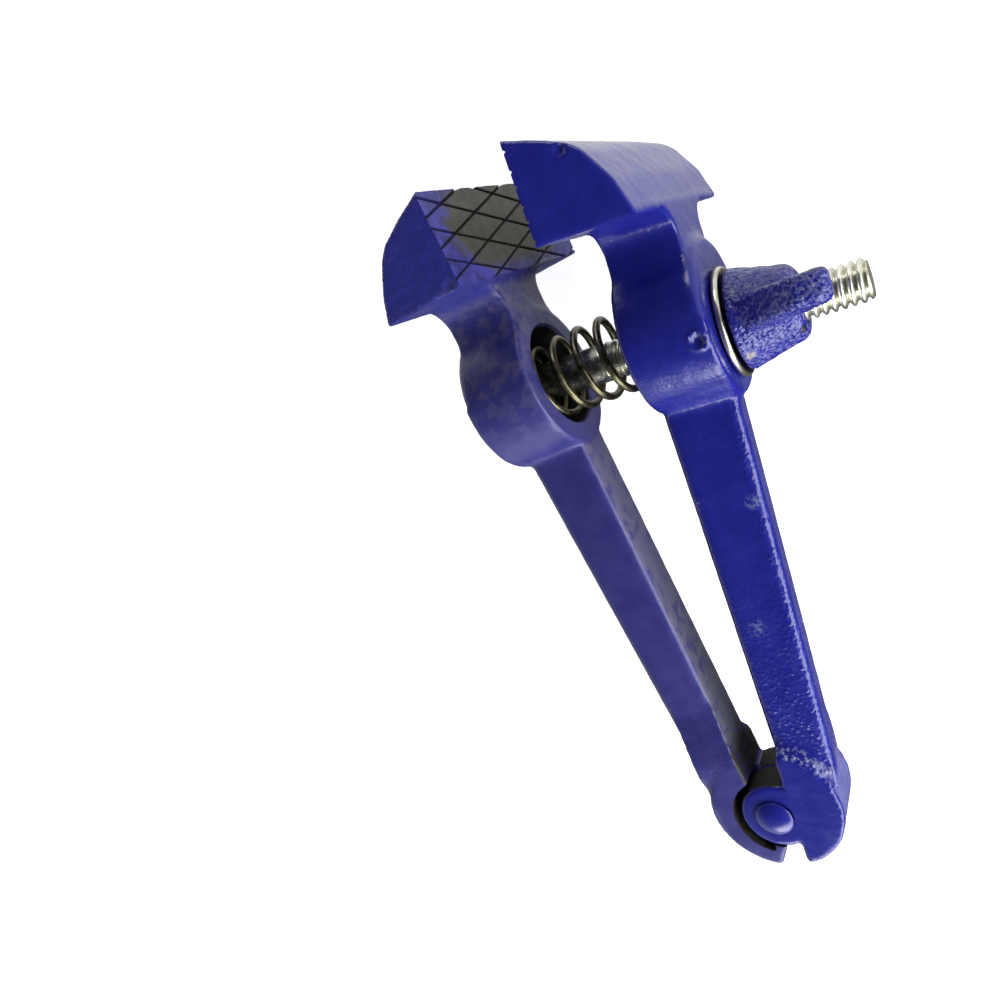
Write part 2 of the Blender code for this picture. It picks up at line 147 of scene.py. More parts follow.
def together(parts):
    whole = bmesh.new()
    for part in parts:
        mesh = bpy.data.meshes.new("part")
        part.to_mesh(mesh)
        part.free()
        whole.from_mesh(mesh)
        bpy.data.meshes.remove(mesh)
    return whole


def looseObject(name, bm):
    mesh = bpy.data.meshes.new(name)
    bm.to_mesh(mesh)
    bm.free()
    made = bpy.data.objects.new(name, mesh)
    bpy.context.scene.collection.objects.link(made)
    return made


def afterModifier(bm, kind, **settings):
    worker = looseObject("worker", bm)
    modifier = worker.modifiers.new(kind, kind)
    for name, value in settings.items():
        setattr(modifier, name, value)
    bpy.context.view_layer.update()
    graph = bpy.context.evaluated_depsgraph_get()
    mesh = bpy.data.meshes.new_from_object(worker.evaluated_get(graph))
    done = bmesh.new()
    done.from_mesh(mesh)
    bpy.data.meshes.remove(mesh)
    bpy.data.objects.remove(worker)
    return done


def carved(bm, tool, operation="DIFFERENCE"):
    cutter = looseObject("cutter", tool)
    done = afterModifier(bm, "BOOLEAN", operation=operation, solver="MANIFOLD", object=cutter)
    bpy.data.objects.remove(cutter)
    return done


def cast(parts, grain, roundings, fillets):
    # Melts overlapping solids into one casting, then rounds its edges and fills its inside corners
    bm = afterModifier(together(parts), "REMESH", mode="VOXEL", voxel_size=grain)
    bm.normal_update()
    for _ in range(roundings):
        relaxed(bm, bm.verts)
    for _ in range(fillets):
        hollow = []
        for vert in bm.verts:
            edges = vert.link_edges
            mean = sum((edge.other_vert(vert).co for edge in edges), Vector()) / len(edges)
            if (mean - vert.co).dot(vert.normal) > grain * 0.012:
                hollow.append(vert)
        relaxed(bm, hollow)
    return bm


def sandSkin(bm, depth, size, seed, blisters=(), kept=None):
    # The uneven skin that the sand mould leaves on a casting, and burst paint blisters with raised rims
    bm.normal_update()
    shift = Vector((seed, 2 * seed, 3 * seed))
    for vert in bm.verts:
        if kept and kept(vert.co):
            continue
        broad = noise.noise(vert.co / size + shift)
        fine = noise.noise(vert.co / (size * 0.45) - shift)
        lump = depth * (broad + 0.5 * fine)
        for centre, radius, hollow, rim in blisters:
            out = (vert.co - Vector(centre)).length / radius
            if out < 1.6:
                lump += rim * max(0, 1 - abs(out - 1.1) / 0.4) - hollow * max(0, 1 - out * out)
        vert.co += vert.normal * lump


def finished(name, bm, materials, sharpAngle=50):
    made = looseObject(name, bm)
    for item in materials:
        made.data.materials.append(item)
    made.data.shade_smooth()
    made.data.set_sharp_from_angle(angle=radians(sharpAngle))
    return made


# Material helpers

def node(tree, kind, inputs=None, **settings):
    made = tree.nodes.new("ShaderNode" + kind)
    for name, value in settings.items():
        setattr(made, name, value)
    for key, value in (inputs or {}).items():
        if isinstance(value, bpy.types.NodeSocket):
            tree.links.new(value, made.inputs[key])
        else:
            made.inputs[key].default_value = value
    return made


def newFinish(name, **sockets):
    made = bpy.data.materials.new(name)
    made.use_nodes = True
    shader = made.node_tree.nodes["Principled BSDF"]
    for key, value in sockets.items():
        shader.inputs[key.replace("_", " ")].default_value = value
    return made, made.node_tree, shader


def ownCoords(tree, frameMatrix):
    # The piece's own axes, whatever its lie in the vise
    back = frameMatrix.inverted()
    coords = node(tree, "TexCoord")
    return node(tree, "Mapping", {"Vector": coords.outputs["Object"], "Location": back.to_translation(),
                                  "Rotation": back.to_euler()}, vector_type="POINT").outputs[0]


def grainOf(tree, place, size, detail=2.0, roughness=0.5):
    return node(tree, "TexNoise", {"Vector": place, "Scale": 1 / size, "Detail": detail,
                                   "Roughness": roughness}).outputs["Fac"]


def ramp(tree, value, low, high, outLow=0.0, outHigh=1.0, smooth=True):
    return node(tree, "MapRange", {"Value": value, "From Min": low, "From Max": high, "To Min": outLow,
                                   "To Max": outHigh},
                interpolation_type="SMOOTHSTEP" if smooth else "LINEAR").outputs["Result"]


def mixColour(tree, share, one, two):
    made = node(tree, "Mix", data_type="RGBA")
    for key, value in ((0, share), (6, one), (7, two)):
        if isinstance(value, bpy.types.NodeSocket):
            tree.links.new(value, made.inputs[key])
        else:
            made.inputs[key].default_value = value
    return made.outputs[2]


def maths(tree, operation, one, two=0.0):
    return node(tree, "Math", {0: one, 1: two}, operation=operation).outputs[0]


def times(tree, product, *shares):
    for share in shares:
        product = maths(tree, "MULTIPLY", product, share)
    return product


def fade(tree, value, low, high):
    return ramp(tree, value, low, high, 1.0, 0.0)


def bumps(tree, shader, heights):
    # Stacks bump layers of height field, strength and depth
    normal = None
    for height, strength, depth in heights:
        made = node(tree, "Bump", {"Height": height, "Strength": strength, "Distance": depth})
        if normal:
            tree.links.new(normal, made.inputs["Normal"])
        normal = made.outputs[0]
    tree.links.new(normal, shader.inputs["Normal"])


# Blue enamel over the castings

# In this table the near-black enamel colour is painted shade near the hinge, and the pale colour used on the
# outward walls and as glints is painted reflection
enamel = {"deep": (0.0125, 0.0150, 0.225, 1), "bright": (0.0150, 0.0180, 0.262, 1),
          "dust": (0.112, 0.110, 0.205, 1), "bare": (0.080, 0.083, 0.115, 1),
          "sootAndShade": (0.011, 0.010, 0.009, 1), "scuff": (0.20, 0.23, 0.46, 1), "paintedSheen": (0.205, 0.210, 0.44, 1),
          "dimple": 0.00070, "lump": 0.0045, "low": 0.20}
dulled = {"deep": (0.027, 0.027, 0.185, 1), "bright": (0.036, 0.036, 0.215, 1), "low": 0.34}

# Where the coat changes on a leg: heights along it, then distances outward, from the disc and over its sides
alongLeg = {"hinge": (0.0060, 0.0080), "hingeWear": (0.0062, 0.0070), "discWall": (0.0092, 0.0108),
            "sootAndShade": (0.0110, 0.0165), "dust": (0.014, 0.055), "barFoot": (0.018, 0.052),
            "thinning": (0.068, 0.095), "barTop": (0.070, 0.076), "neckFoot": (0.070, 0.092),
            "leather": (0.0885, 0.0945), "neckTop": (0.096, 0.102), "freshJaw": (0.098, 0.104),
            "jaw": (0.0985, 0.1010), "jawFoot": (0.0995, 0.1006)}
acrossLeg = {"innerFace": (0.00262, 0.00300), "outerWall": (0.0094, 0.0100), "outerEdge": (0.0088, 0.0098),
             "bossRing": (0.0118, 0.0132), "discTop": (0.0100, 0.0108), "discRim": (0.0104, 0.0108),
             "discFoot": (0.0122, 0.0130), "arcStart": (0.0106, 0.0110), "arcEnd": (0.0124, 0.0134),
             "discEdge": (0.0046, 0.0057), "barEdge": (0.0024, 0.0034)}


def nearSpot(tree, place, spot, radius):
    # One at the spot, fading to nothing at the radius
    away = node(tree, "VectorMath", {0: place, 1: spot}, operation="DISTANCE").outputs["Value"]
    return fade(tree, away, radius * 0.3, radius)


def insideWearAndShade(tree, axes, place, lumps, colour, rough):
    # The spray thins out on the faces that look at the other leg, down to bare iron; close to the hinge these
    # faces go near-black, painted shade where the legs meet
    out, up = axes.outputs[0], axes.outputs[1]
    ragged = maths(tree, "ADD", out, ramp(tree, lumps, 0.2, 0.8, -0.00020, 0.00020))
    bossMiddle = (leg["bossInner"], leg["bossCentre"], 0)
    fromBoss = node(tree, "VectorMath", {0: place, 1: bossMiddle}, operation="DISTANCE").outputs["Value"]
    blotches = grainOf(tree, place, 0.0022, 4.0, 0.65)
    blotches = maths(tree, "ADD", blotches, times(tree, ramp(tree, up, *alongLeg["thinning"]), -0.09))
    creases = ramp(tree, grainOf(tree, place, 0.0010, 3.0, 0.6), 0.45, 0.53, 0.15, 1.0)
    leathery = maths(tree, "MAXIMUM", creases, fade(tree, up, *alongLeg["leather"]))
    worn = times(tree, fade(tree, ragged, *acrossLeg["innerFace"]), fade(tree, up, *alongLeg["jawFoot"]),
                 ramp(tree, up, *alongLeg["hingeWear"]), ramp(tree, blotches, 0.34, 0.52, 0.35, 1.0),
                 ramp(tree, fromBoss, *acrossLeg["bossRing"], 0.15, 1.0), leathery)
    tone = mixColour(tree, ramp(tree, up, *alongLeg["dust"]), enamel["bare"], enamel["dust"])
    # Near-black over the inner faces close to the hinge: painted shade between the legs
    tone = mixColour(tree, fade(tree, up, *alongLeg["sootAndShade"]), tone, enamel["sootAndShade"])
    rough = maths(tree, "MAXIMUM", rough, ramp(tree, worn, 0.0, 1.0, 0.0, 0.62))
    return mixColour(tree, worn, colour, tone), rough


def reflectionOnWalls(tree, axes, edge, fromDisc, lumps, colour):
    # Painted reflection: pale lavender on the walls that look outward, the disc's rim wall and the bar's outer
    # wall
    up, height = axes.outputs[1], axes.outputs[2]
    discWall = times(tree, ramp(tree, fromDisc, *acrossLeg["discRim"]),
                     fade(tree, fromDisc, *acrossLeg["discFoot"]),
                     ramp(tree, maths(tree, "ABSOLUTE", height), *acrossLeg["discEdge"], 0.66, 0.0),
                     fade(tree, up, *alongLeg["discWall"]))
    barWall = times(tree, ramp(tree, edge, *acrossLeg["outerWall"]),
                    ramp(tree, height, *acrossLeg["barEdge"], 0.28, 0.0), fade(tree, up, *alongLeg["barTop"]))
    share = times(tree, maths(tree, "MAXIMUM", discWall, barWall), ramp(tree, lumps, 0.25, 0.6, 0.75, 1.0))
    return mixColour(tree, share, colour, enamel["paintedSheen"])


def dustyNeck(tree, axes, place, lumps, colour):
    # The left jaw's coat is fresher than the dusty neck and bar
    frayed = maths(tree, "ADD", axes.outputs[1], ramp(tree, lumps, 0.2, 0.8, -0.002, 0.002))
    fresh = ramp(tree, frayed, *alongLeg["freshJaw"], 0.0, 0.6)
    colour = mixColour(tree, fresh, colour, enamel["bright"])
    dusty = times(tree, ramp(tree, frayed, *alongLeg["neckFoot"]), fade(tree, frayed, *alongLeg["neckTop"]),
                  ramp(tree, grainOf(tree, place, 0.0026, 4.0, 0.65), 0.44, 0.60, 0.0, 0.6))
    return mixColour(tree, dusty, colour, enamel["dust"])


def runnyCoat(tree, axes, edge, fromDisc, dull):
    # Smooth over the disc and the upper bar, bubbly at the bar's foot, at its outer edge and round the disc
    up = axes.outputs[1]
    onBar = fade(tree, up, *alongLeg["barTop"])
    coarse = maths(tree, "MAXIMUM", ramp(tree, up, *alongLeg["barFoot"], 1.0, 0.24),
                   times(tree, ramp(tree, edge, *acrossLeg["outerEdge"]), onBar))
    coarse = times(tree, coarse, ramp(tree, fromDisc, *acrossLeg["discTop"], 0.12, 1.0))
    arc = times(tree, ramp(tree, fromDisc, *acrossLeg["arcStart"]),
                ramp(tree, fromDisc, *acrossLeg["arcEnd"], 1.8, 0.0),
                onBar, ramp(tree, up, *alongLeg["hinge"]))
    return arc, times(tree, maths(tree, "MAXIMUM", coarse, arc), 0.30 if dull else 1.0)


def blueEnamel(name, frameMatrix, dimpleDepth, onLeg=False, dull=False, size=1.0, paintedGlints=0.0, scuffs=(),
               patches=()):
    made, tree, shader = newFinish(name)
    place = ownCoords(tree, frameMatrix)
    axes = node(tree, "SeparateXYZ", {"Vector": place})
    dimples = grainOf(tree, place, enamel["dimple"] * size, 1.0, 0.4)
    lumps = grainOf(tree, place, enamel["lump"], 3.0, 0.55)
    bubbleSize = enamel["dimple"] * size * 1.15
    cells = node(tree, "TexVoronoi", {"Vector": place, "Scale": 1 / bubbleSize, "Smoothness": 0.35},
                 feature="SMOOTH_F1").outputs["Distance"]
    bubbles = fade(tree, cells, 0.05, 0.60)
    tint = dulled if dull else enamel
    colour = mixColour(tree, ramp(tree, lumps, 0.2, 0.8), tint["deep"], tint["bright"])
    rough = ramp(tree, lumps, 0.3, 0.7, tint["low"], tint["low"] + 0.08)
    heights = []
    if dull:
        colour = dustyNeck(tree, axes, place, lumps, colour)
    if onLeg:
        edge = maths(tree, "SUBTRACT", axes.outputs[0], times(tree, axes.outputs[1], leg["barTaper"]))
        flat = node(tree, "CombineXYZ", {"X": axes.outputs[0], "Y": axes.outputs[1]}).outputs[0]
        discMiddle = (0, leg["discRise"], 0)
        fromDisc = node(tree, "VectorMath", {0: flat, 1: discMiddle}, operation="DISTANCE").outputs["Value"]
        colour = reflectionOnWalls(tree, axes, edge, fromDisc, lumps, colour)
        colour, rough = insideWearAndShade(tree, axes, place, lumps, colour, rough)
    if paintedGlints:
        # Pale specks on the dimples' peaks: painted glints
        specks = times(tree, ramp(tree, dimples, 0.44, 0.64), ramp(tree, lumps, 0.35, 0.60, 0.35, 1.0))
        colour = mixColour(tree, times(tree, specks, paintedGlints), colour, enamel["paintedSheen"])
    streaks = ramp(tree, grainOf(tree, place, 0.0007, 4.0, 0.7), 0.48, 0.60)
    for spot, radius in scuffs:
        mark = times(tree, nearSpot(tree, place, spot, radius), streaks, 0.6)
        colour = mixColour(tree, mark, colour, enamel["scuff"])
    for spot, radius, shade in patches:
        mark = times(tree, nearSpot(tree, place, spot, radius), ramp(tree, dimples, 0.25, 0.55, 0.3, 1.0))
        colour = mixColour(tree, mark, colour, shade)
    if onLeg:
        arc, coarse = runnyCoat(tree, axes, edge, fromDisc, dull)
        bubbles = times(tree, bubbles, coarse)
        if dull:  # soft hollows over the left jaw
            onJaw = ramp(tree, axes.outputs[1], *alongLeg["jaw"])
            coarse = maths(tree, "MAXIMUM", coarse, times(tree, onJaw, 1.1))
            heights.append((times(tree, grainOf(tree, place, 0.0015, 2.0, 0.5), onJaw), 0.8, 0.00040))
        else:  # painted glints in the arc round the right leg's disc
            arcGlints = times(tree, arc, 0.5, ramp(tree, dimples, 0.48, 0.62))
            colour = mixColour(tree, arcGlints, colour, enamel["paintedSheen"])
        dimples = times(tree, dimples, coarse)
    tree.links.new(colour, shader.inputs["Base Color"])
    tree.links.new(rough, shader.inputs["Roughness"])
    bumps(tree, shader, heights + [(dimples, 0.8, dimpleDepth * 1.2), (bubbles, 0.9, dimpleDepth * 0.7)])
    return made


def grippingFace(name, frameMatrix):
    # Ground steel, near-black in the grooves and darker blue where they run under the paint, and spray from
    # the enamel over its ends and lower edge
    made, tree, shader = newFinish(name)
    place = ownCoords(tree, frameMatrix)
    axes = node(tree, "SeparateXYZ", {"Vector": place})
    mottle = grainOf(tree, place, 0.0024, 4.0, 0.6)
    fine = grainOf(tree, place, 0.0005, 3.0, 0.6)
    groove = ramp(tree, axes.outputs[0], 0.00002, 0.00012)
    steel = mixColour(tree, ramp(tree, mottle, 0.3, 0.7), (0.062, 0.060, 0.047, 1), (0.106, 0.103, 0.082, 1))
    steel = mixColour(tree, ramp(tree, fine, 0.35, 0.7, 0.0, 0.35), steel, (0.17, 0.17, 0.15, 1))
    steel = mixColour(tree, groove, steel, (0.010, 0.009, 0.008, 1))
    paint = mixColour(tree, ramp(tree, mottle, 0.38, 0.60), (0.020, 0.019, 0.14, 1), (0.046, 0.044, 0.31, 1))
    paint = mixColour(tree, groove, paint, (0.012, 0.011, 0.075, 1))
    sideways = maths(tree, "ABSOLUTE", axes.outputs[2])
    offMiddle = maths(tree, "ABSOLUTE", maths(tree, "SUBTRACT", axes.outputs[1], 0.1085))
    bow = times(tree, maths(tree, "POWER", offMiddle, 2.0), 130.0)
    reach = maths(tree, "ADD", sideways, bow)
    reach = maths(tree, "ADD", reach, ramp(tree, mottle, 0.2, 0.8, -0.0018, 0.0018))
    lower = maths(tree, "ADD", axes.outputs[1], ramp(tree, mottle, 0.2, 0.8, -0.0008, 0.0008))
    spray = ramp(tree, reach, 0.0158, 0.0200)
    spray = maths(tree, "MAXIMUM", spray, ramp(tree, lower, 0.1014, 0.1034, 0.75, 0.0))
    tree.links.new(mixColour(tree, spray, steel, paint), shader.inputs["Base Color"])
    bare = times(tree, maths(tree, "SUBTRACT", 1.0, spray), maths(tree, "SUBTRACT", 1.0, groove), 0.5)
    tree.links.new(bare, shader.inputs["Metallic"])
    tree.links.new(ramp(tree, fine, 0.3, 0.7, 0.42, 0.60), shader.inputs["Roughness"])
    bumps(tree, shader, [(fine, 0.5, 0.00005)])
    return made


def shadeAndGrimeWalls(name, frameMatrix):
    # Near-black rough walls: painted shade on the knuckle barrel and in the knuckle room, and the same
    # near-black in the unpainted spring pocket
    made, tree, shader = newFinish(name, Specular_IOR_Level=0.3)
    sootAndShade = grainOf(tree, ownCoords(tree, frameMatrix), 0.0009, 4.0, 0.65)
    shadeAndGrimeTone = mixColour(tree, ramp(tree, sootAndShade, 0.35, 0.75), (0.010, 0.009, 0.008, 1), (0.035, 0.031, 0.027, 1))
    tree.links.new(shadeAndGrimeTone, shader.inputs["Base Color"])
    tree.links.new(ramp(tree, sootAndShade, 0.3, 0.7, 0.55, 0.85), shader.inputs["Roughness"])
    bumps(tree, shader, [(sootAndShade, 0.6, 0.00008)])
    return made


# Legs: one casting pattern, used twice

leg = {"grain": 0.00036, "fusion": 0.0008, "skinDepth": 0.00004, "skinSize": 0.0022,
       "jawBottom": 0.1007, "jawWidth": 0.0450, "jawEdge": 0.0003,
       "jawBack": [(-0.0006, 0.11508), (0.0046, 0.11300), (0.0093, 0.1106), (0.0125, 0.1052),
                   (0.0141, 0.1007), (-0.0006, 0.1007)],
       "jawBackRounds": [0, 0.008, 0.006, 0.010, 0, 0],
       "neckHalf": 0.0070, "neckInner": 0.0027, "neckOuter": 0.0140, "neckEdge": 0.0010,
       "neckRoot": 0.0085, "rootEnd": 0.00875, "neckStart": 0.01021, "bossFillet": 0.0050,
       "jawFillet": 0.0045, "filletRoom": 0.018,
       "bossCentre": 0.0830, "bossRadius": 0.0122, "bossInner": 0.0024, "bossOuter": 0.0152,
       "bossEdge": 0.0006, "bossCrown": 0.0015, "pocketRadius": 0.0085, "pocketMouth": 0.0097,
       "pocketLip": 0.0006, "pocketDepth": 0.0062, "slotHalf": 0.0035, "slotRound": 0.0016,
       "barInner": 0.0025, "barOuterTop": 0.0135, "barOuterFoot": 0.0103, "barHalf": 0.00455,
       "barEdge": 0.0014, "barDraft": 0.0011, "barTaper": 0.0451, "barFootRise": 0.0030,
       "wideFootRise": 0.0022, "barInBoss": 0.0080,
       "discRadius": 0.0109, "discRise": 0.0010, "discEdge": 0.0006, "tipRound": 0.0008,
       "halfHinge": 0.0061, "rampLow": 0.00395, "rampHigh": 0.0060,
       "rampPlaces": (0.0020, 0.0090, 0.0115, 0.0240),
       "skirt": 0.0126, "skirtShift": (0.0016, 0.0012), "skirtInner": 0.0030, "skirtOuter": 0.0113,
       "skirtFoot": 0.0050, "knuckle": 0.0060, "knuckleEdge": 0.0006, "room": 0.0073,
       "roomTurn": radians(-61), "hookGap": 0.00612, "nick": (0.00323, -0.00582, 0),
       "nickRadius": 0.00062, "hookTipRounds": [0.0005, 0.0010, 0, 0],
       "hookTip": [(0.0007, -0.0058), (0.0030, -0.0094), (0.0050, -0.0085), (0.0050, -0.0040)],
       "bore": 0.0028, "over": 0.002, "faceCut": [(-0.01, 0.09), (0, 0.09), (0, 0.125), (-0.01, 0.125)]}


def jawSolid():
    bm = block(leg["jawBack"], leg["jawBackRounds"], -leg["jawWidth"] / 2, leg["jawWidth"] / 2)
    return softened(bm, leg["jawEdge"], 2, isSharp)


def neckSolid():
    jaw = leg["jawBottom"] - leg["bossCentre"]
    half = [(0, leg["neckRoot"]), (leg["rootEnd"], leg["neckRoot"]), (leg["neckStart"], leg["neckHalf"]),
            (jaw, leg["neckHalf"]), (jaw, leg["filletRoom"]), (jaw + leg["fusion"], leg["filletRoom"])]
    rounds = [0, 0, leg["bossFillet"], leg["jawFillet"], 0, 0]
    corners = half + [(w, -z) for w, z in reversed(half)]
    bm = block(corners, rounds + rounds[::-1], leg["neckInner"], leg["neckOuter"], 8)
    placed(bm, Matrix.Translation((0, leg["bossCentre"], 0)) @ lengthwise)
    return softened(bm, leg["neckEdge"], 2, lambda edge: isSharp(edge) and abs(spanOf(edge).x) < 1e-6
                    and max(vert.co.y for vert in edge.verts) < leg["jawBottom"] - 1e-6)


def bossSolid():
    inner, outer, radius = leg["bossInner"], leg["bossOuter"], leg["bossRadius"]
    bm = turned([(inner, 0), (inner, radius), (outer, radius), (outer, 0)], 72)
    softened(bm, leg["bossCrown"], 5, lambda edge: isSharp(edge) and edge.verts[0].co.x > outer - 1e-6
             and min(edge.verts[0].co.y, edge.verts[1].co.y) > 0.002)
    softened(bm, leg["bossEdge"], 3, isSharp)
    return placed(bm, Matrix.Translation((0, leg["bossCentre"], 0)))


def barSolid():
    foot = leg["discRise"] + leg["barFootRise"]
    top = leg["bossCentre"] - leg["barInBoss"]
    bm = bmesh.new()
    bmesh.ops.create_cube(bm, size=2)
    for vert in bm.verts:  # the outer side leans with the mould's draft
        atTop, outer, wide = vert.co.y > 0, vert.co.x > 0, vert.co.x > 0 and vert.co.z > 0
        edge = (leg["barOuterTop"] if atTop else leg["barOuterFoot"]) + (leg["barDraft"] if wide else 0)
        low = foot + (leg["wideFootRise"] if wide else 0)
        vert.co = (edge if outer else leg["barInner"], top if atTop else low, leg["barHalf"] * vert.co.z)
    return softened(bm, leg["barEdge"], 3, lambda edge: abs(spanOf(edge).y) > 0.02)


def discSolid():
    middle = Vector((0, leg["discRise"], 0))
    bm = placed(cylinder(leg["discRadius"], -leg["halfHinge"], leg["halfHinge"], 96),
                Matrix.Translation(middle))
    trimmed(bm, (leg["barInner"], 0, 0), (-1, 0, 0))
    radius, reach = leg["tipRound"], leg["discRadius"] - leg["tipRound"]
    across = leg["barInner"] + radius
    down = (reach ** 2 - across ** 2) ** 0.5
    last = atan2(-down, across)
    for side in (1, -1):  # both tips of the cut are rounded by five small planes
        centre = middle + Vector((across, -down * side, 0))
        for step in range(1, 6):
            angle = -pi + (last + pi) * step / 6
            outward = Vector((cos(angle), sin(angle) * side, 0))
            trimmed(bm, centre + outward * radius, outward)
    return softened(bm, leg["discEdge"], 4, lambda edge: isSharp(edge) and abs(spanOf(edge).z) < 1e-5
                    and all((vert.co - middle).xy.length > leg["discRadius"] * 0.8 for vert in edge.verts))


def rampSolid():
    # On the hook's side the bar runs up to the disc without a step
    low, high = leg["rampLow"], leg["rampHigh"]
    start, flatStart, flatEnd, end = leg["rampPlaces"]
    corners = [(start, -0.004), (flatStart, -high), (flatEnd, -high), (end, -low), (end, -0.004)]
    bm = block(corners, [0, 0, 0.008, 0, 0], leg["barInner"] + 0.0002, leg["barOuterFoot"] + 0.0001)
    return placed(bm, lengthwise)


def skirtSolid():
    # The wide fillet that carries the bar's outer half up to the disc
    low, high = leg["rampLow"], leg["rampHigh"]
    bm = cylinder(leg["skirt"], low, high)
    for vert in bm.verts:
        if vert.co.z > (low + high) / 2:
            vert.co.xy *= leg["discRadius"] / leg["skirt"]
            vert.co.y += leg["discRise"]
        else:
            vert.co.xy += Vector(leg["skirtShift"])
    trimmed(bm, (leg["skirtOuter"], 0, 0), (1, 0, 0))
    trimmed(bm, (0, leg["skirtFoot"], 0), (0, -1, 0))
    trimmed(bm, (leg["skirtInner"], 0, 0), (-1, 0, 0))
    return bm


def knuckleSolid():
    bm = cylinder(leg["knuckle"], vise["gap"] / 2, leg["halfHinge"])
    return softened(bm, leg["knuckleEdge"], 3, lambda edge: isSharp(edge)
                    and min(vert.co.z for vert in edge.verts) > leg["halfHinge"] / 2)


def hookTipSolid():
    return block(leg["hookTip"], leg["hookTipRounds"], -leg["halfHinge"], -vise["gap"] / 2)


def knuckleRoomTool():
    # Round room for the other leg's knuckle, with the wider crescent on the hook's side
    bm = cylinder(leg["room"], -leg["halfHinge"] - leg["over"], vise["gap"] / 2)
    trimmed(bm, (0, 0, 0), (sin(leg["roomTurn"]), -cos(leg["roomTurn"]), 0))
    return bm


def pocketTool():
    floor = leg["bossInner"] + leg["pocketDepth"]
    lip = leg["bossInner"] + leg["pocketLip"]
    bm = turned([(0.001, 0), (0.001, leg["pocketMouth"]), (lip, leg["pocketRadius"]),
                 (floor, leg["pocketRadius"]), (floor, 0)], 72)
    return placed(bm, Matrix.Translation((0, leg["bossCentre"], 0)))


def slotTool(low, high):
    half = leg["slotHalf"]
    bm = block([(low, -half), (high, -half), (high, half), (low, half)], [leg["slotRound"]] * 4, 0.001, 0.018)
    return placed(bm, lengthwise)


hatch = {"crossing": (0.1089, 0.0010), "slopes": (0.30, -0.222), "spacing": 0.0046, "lines": 7,
         "halfWidth": 0.00026, "depth": 0.00036, "end": 0.02255}


def hatchTool(slope):
    # Bars with a V edge, laid side by side across the gripping face
    lean = atan2(slope, 1)
    bars = []
    for index in range(-hatch["lines"], hatch["lines"] + 1):
        bm = bmesh.new()
        bmesh.ops.create_cone(bm, cap_ends=True, segments=4, radius1=1, radius2=1, depth=0.09)
        bmesh.ops.scale(bm, vec=(hatch["depth"], hatch["halfWidth"] / cos(lean), 1), verts=bm.verts)
        bmesh.ops.rotate(bm, verts=bm.verts, cent=(0, 0, 0), matrix=Matrix.Rotation(-lean, 3, "X"))
        w = hatch["crossing"][0] + index * hatch["spacing"]
        bmesh.ops.translate(bm, verts=bm.verts, vec=(0, w, hatch["crossing"][1]))
        bars.append(bm)
    return together(bars)


def legPattern():
    parts = [jawSolid(), neckSolid(), bossSolid(), barSolid(), discSolid(), rampSolid(), skirtSolid(),
             knuckleSolid(), hookTipSolid()]
    return cast(parts, leg["grain"], 1, 24)


def finishOf(face):
    # The slot of a face's finish: 0 for enamel, 1 for the gripping face, 2 for the near-black walls, painted
    # shade at the knuckle and the same near-black in the pocket
    u, w, z = face.calc_center_median()
    normal = face.normal
    onJaw = w > leg["jawBottom"] + 0.0001
    inGroove = u < hatch["depth"] + 0.00003 and abs(normal.x) > 0.3 and abs(z) < hatch["end"]
    if onJaw and (u < 0.00002 or inGroove):
        return 1
    if Vector((w - leg["bossCentre"], z)).length < leg["pocketRadius"] + 0.00006:
        if 0.0032 < u < leg["bossOuter"] - 0.0004:
            return 2
    fromHinge = Vector((u, w)).length
    # The knuckle room and the knuckle barrel take the near-black finish as painted shade
    inRoom = fromHinge < leg["room"] + 0.00005 and z < vise["gap"] and abs(normal.z) < 0.5
    onKnuckle = fromHinge < leg["knuckle"] + 0.0002 and u < 0.0022 and abs(normal.z) < 0.45
    return 2 if inRoom or onKnuckle else 0


def legFrom(pattern, name, frameMatrix, slotEnds, seed, lip, blisters, coat):
    bm = pattern.copy()
    for vert in bm.verts:  # the jaws' lower lips hang a little differently on the two castings
        u, w = vert.co.xy
        vert.co.y -= lip * min(max((u - 0.002) / 0.011, 0), 1) * max(0, 1 - abs(w - 0.1005) / 0.0045)
    sandSkin(bm, leg["skinDepth"], leg["skinSize"], seed, blisters)
    below, layer = -leg["halfHinge"] - leg["over"], vise["gap"] / 2
    tools = [pocketTool(), slotTool(*slotEnds), cylinder(leg["bore"], -0.01, 0.01, 48), knuckleRoomTool(),
             cylinder(leg["hookGap"], below, layer),
             placed(cylinder(leg["nickRadius"], below, layer, 24), Matrix.Translation(leg["nick"])),
             block(leg["faceCut"], [0] * 4, -0.03, 0.03)]
    tools += [hatchTool(slope) for slope in hatch["slopes"]]
    for tool in tools:
        bm = carved(bm, tool)
    bmesh.ops.remove_doubles(bm, verts=bm.verts, dist=2e-6)
    bmesh.ops.dissolve_degenerate(bm, edges=bm.edges, dist=1e-6)
    bm.normal_update()
    for face in bm.faces:
        face.material_index = finishOf(face)
    placed(bm, frameMatrix)
    finishes = [coat, grippingFace(name + "Grip", frameMatrix), shadeAndGrimeWalls(name + "ShadeAndGrime", frameMatrix)]
    made = finished(name, bm, finishes, 45)
    print(name, len(made.data.polygons), "faces")
    return made


